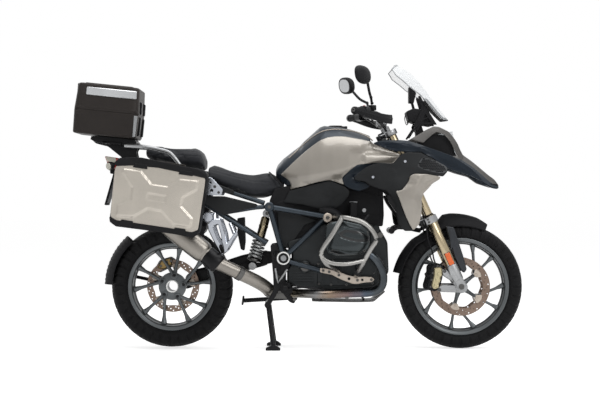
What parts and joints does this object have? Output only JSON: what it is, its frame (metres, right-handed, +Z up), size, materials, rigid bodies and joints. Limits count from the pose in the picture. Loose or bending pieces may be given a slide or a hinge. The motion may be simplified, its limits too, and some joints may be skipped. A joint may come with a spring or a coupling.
{
  "type": "adventure touring motorcycle",
  "caption": "Adventure touring motorcycle with a flat twin engine, shaft drive, crash bars, two side cases and a top case, parked on its centre stand.",
  "frame": {"origin": "on the floor, below the middle of the machine's length and width", "axes": "+X forwards, +Y to the rider's left, +Z up"},
  "size_m": [2.3413, 0.96, 1.486],
  "materials": {
    "tank_paint": "satin metallic",
    "dark_paint": "gloss dark blue-black",
    "black_plastic": "fine grained",
    "black_metal": "satin black powder coat",
    "frame_paint": "satin graphite blue",
    "engine_grey": "satin dark grey",
    "bare_steel": "brushed stainless",
    "exhaust_steel": "heat tinted stainless",
    "bare_alloy": "cast and polished",
    "gold_alloy": "gold anodised",
    "wheel_grey": "satin graphite",
    "disc_steel": "bronze tinted, drilled",
    "tyre_rubber": "block tread",
    "seat_cover": "textured cover",
    "screen_clear": "clear",
    "lamp_glass": "clear lens over a dark reflector",
    "red_lens": "smoked red",
    "case_face": "satin champagne",
    "mirror_black": "satin black shell"
  },
  "bodies": {
    "chassis": {"engine_block": "engine_grey", "cylinder_heads": "engine_grey", "crash_bars": "bare_steel", "main_frame": "frame_paint", "rear_subframe": "frame_paint", "case_carriers": "black_metal", "inner_covers": "black_plastic", "fuel_tank": "tank_paint", "side_panels": "black_plastic", "upper_cowls": "dark_paint", "radiator_shrouds": "tank_paint", "radiators": "black_metal", "beak": "dark_paint", "headlight": "lamp_glass", "headlight_surround": "tank_paint", "windscreen": "screen_clear", "instrument_panel": "black_plastic", "rider_seat": "seat_cover", "pillion_seat": "seat_cover", "grab_rails": "bare_alloy", "luggage_rack": "black_metal", "tail_light": "red_lens", "rear_mudguard": "black_plastic", "swing_arm": "black_metal", "rear_shock": "gold_alloy", "fork_wishbone": "black_metal", "exhaust_pipes": "exhaust_steel", "silencer": "bare_steel", "skid_plate": "bare_alloy", "footrests": "bare_alloy", "top_case_body": "black_plastic", "side_case_bodies": "black_plastic"},
    "steering": {"fork_legs": "gold_alloy", "fork_yokes": "bare_alloy", "front_axle": "bare_steel", "handlebar": "black_metal", "handguards": "black_plastic", "mirrors": "mirror_black", "front_mudguard": "black_plastic", "front_calipers": "gold_alloy"},
    "front_wheel": {"front_rim": "wheel_grey", "front_tyre": "tyre_rubber", "front_discs": "disc_steel"},
    "rear_wheel": {"rear_rim": "wheel_grey", "rear_tyre": "tyre_rubber", "rear_disc": "disc_steel"},
    "centre_stand": {"centre_stand": "black_metal"},
    "side_stand": {"side_stand": "black_metal"},
    "top_lid": {"top_case_lid": "black_plastic"},
    "right_lid": {"right_case_lid": "case_face"},
    "left_lid": {"left_case_lid": "case_face"},
    "fuel_cap": {"fuel_cap": "dark_paint"}
  },
  "joints": [
    {"name": "steering", "type": "hinge", "parent": "chassis", "child": "steering", "pos_m": [0.80796, 0, 0.30675], "axis": [-0.4147, 0, 0.91], "range_deg": [-38, 38]},
    {"name": "front_wheel_spin", "type": "hinge", "parent": "steering", "child": "front_wheel", "pos_m": [0.848, 0, 0.325], "axis": [0, 1, 0], "continuous": true},
    {"name": "rear_wheel_spin", "type": "hinge", "parent": "chassis", "child": "rear_wheel", "pos_m": [-0.659, 0, 0.325], "axis": [0, 1, 0], "continuous": true},
    {"name": "centre_stand_fold", "type": "hinge", "parent": "chassis", "child": "centre_stand", "pos_m": [-0.158, 0, 0.232], "axis": [0, 1, 0], "range_deg": [0, 92]},
    {"name": "side_stand_swing", "type": "hinge", "parent": "chassis", "child": "side_stand", "pos_m": [-0.024, 0.176, 0.256], "axis": [0.112, -0.9744, -0.1951], "range_deg": [0, 100]},
    {"name": "top_case_lid", "type": "hinge", "parent": "chassis", "child": "top_lid", "pos_m": [-0.81191, 0, 1.22043], "axis": [0, 1, 0], "range_deg": [0, 80]},
    {"name": "left_case_lid", "type": "hinge", "parent": "chassis", "child": "left_lid", "pos_m": [-0.75051, 0.366, 0.61678], "axis": [-0.9888, 0, 0.1495], "range_deg": [0, 85]},
    {"name": "right_case_lid", "type": "hinge", "parent": "chassis", "child": "right_lid", "pos_m": [-0.75051, -0.366, 0.61678], "axis": [0.9888, 0, -0.1495], "range_deg": [0, 85]},
    {"name": "fuel_cap", "type": "hinge", "parent": "chassis", "child": "fuel_cap", "pos_m": [0.254, 0, 1.159], "axis": [0, 1, 0], "range_deg": [0, 95]}
  ]
}
